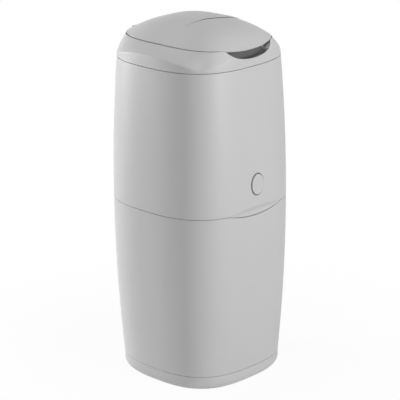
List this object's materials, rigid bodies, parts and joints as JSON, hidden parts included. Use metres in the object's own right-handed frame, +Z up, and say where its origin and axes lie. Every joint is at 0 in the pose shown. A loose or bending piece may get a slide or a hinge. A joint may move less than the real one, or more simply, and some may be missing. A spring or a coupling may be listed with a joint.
{
  "type": "nappy bin",
  "caption": "Tall rounded-square nappy bin with a domed lift-up lid, a film cassette over sprung jaws, and a head that tips back for emptying.",
  "frame": {"origin": "centre of the bin's bounding box seen from above, at floor level under the feet; the body's own middle is 5.48 mm in front of it, because the waist hinge stands out at the back", "axes": "+Z up, -Y out of the front with the button, +X to the right seen from the front"},
  "size_m": [0.239, 0.251, 0.556],
  "materials": {
    "shell_grey": "satin",
    "button_grey": "satin",
    "inner_grey": "matte",
    "dark_plastic": "matte",
    "white_plastic": "satin",
    "film": "gloss",
    "cutter_blue": "satin",
    "soft_rubber": "matte",
    "steel": "satin"
  },
  "bodies": {
    "base": {"base_ring": "shell_grey", "feet": "soft_rubber", "lower_shell": "shell_grey", "base_screws": "steel", "waist_seal": "soft_rubber", "latch_catch": "dark_plastic", "catch_screws": "steel", "waist_hinge_lower": "shell_grey", "waist_hinge_lower_screws": "steel", "waist_hinge_pin": "steel"},
    "head": {"upper_shell": "shell_grey", "collar": "shell_grey", "head_deck": "inner_grey", "deck_screws": "steel", "waist_hinge_upper": "shell_grey", "waist_hinge_upper_screws": "steel", "lid_hinge_bracket": "shell_grey", "lid_hinge_bracket_screws": "steel", "lid_hinge_pin": "steel", "button_guide": "inner_grey", "button_guide_screws": "steel", "button_spring": "steel", "latch_bracket": "inner_grey", "latch_bracket_screws": "steel", "latch_pin": "steel", "latch_spring": "steel", "cassette_tray": "white_plastic", "film_pack": "film", "cassette_cap": "white_plastic", "clamp_frame": "inner_grey", "clamp_frame_screws": "steel", "jaw_pins": "steel", "jaw_springs": "steel", "cutter_runner": "dark_plastic", "cutter_runner_screws": "steel"},
    "lid": {"lid": "shell_grey", "lid_liner": "inner_grey", "lid_seal": "soft_rubber", "lid_hinge_arm": "shell_grey", "lid_liner_screws": "steel"},
    "button": {"release_button": "button_grey"},
    "latch": {"latch_lever": "dark_plastic"},
    "front_jaw": {"jaw_front": "white_plastic", "jaw_lip_front": "soft_rubber"},
    "rear_jaw": {"jaw_rear": "white_plastic", "jaw_lip_rear": "soft_rubber"},
    "cutter": {"cutter_slide": "cutter_blue", "cutter_blade": "steel"}
  },
  "joints": [
    {"name": "head_tilt", "type": "hinge", "parent": "base", "child": "head", "pos_m": [0, 0.12002, 0.28], "axis": [-1, 0, 0], "range_deg": [0, 90]},
    {"name": "lid_hinge", "type": "hinge", "parent": "head", "child": "lid", "pos_m": [0, 0.10402, 0.5275], "axis": [-1, 0, 0], "range_deg": [0, 95]},
    {"name": "button_slide", "type": "slide", "parent": "head", "child": "button", "axis": [0, 1, 0], "range_m": [0, 0.005], "stiffness_N_per_m": 400, "springref_m": -0.004, "deforming": ["button_spring"]},
    {"name": "latch_pivot", "type": "hinge", "parent": "head", "child": "latch", "pos_m": [0, -0.09925, 0.292], "axis": [-1, 0, 0], "range_deg": [0, 10.5], "stiffness_Nm_per_rad": 0.02, "springref_deg": -17.19},
    {"name": "jaw_front_swing", "type": "hinge", "parent": "head", "child": "front_jaw", "pos_m": [0, -0.05548, 0.441], "axis": [-1, 0, 0], "range_deg": [0, 65], "stiffness_Nm_per_rad": 0.03, "springref_deg": -57.3},
    {"name": "jaw_rear_swing", "type": "hinge", "parent": "head", "child": "rear_jaw", "pos_m": [0, 0.04452, 0.441], "axis": [1, 0, 0], "range_deg": [0, 65], "stiffness_Nm_per_rad": 0.03, "springref_deg": -57.3},
    {"name": "cutter_travel", "type": "slide", "parent": "head", "child": "cutter", "axis": [1, 0, 0], "range_m": [0, 0.06]}
  ],
  "couplings": [
    {"joint": "latch_pivot", "follows": "button_slide", "rad_per_m": 36.5}
  ]
}
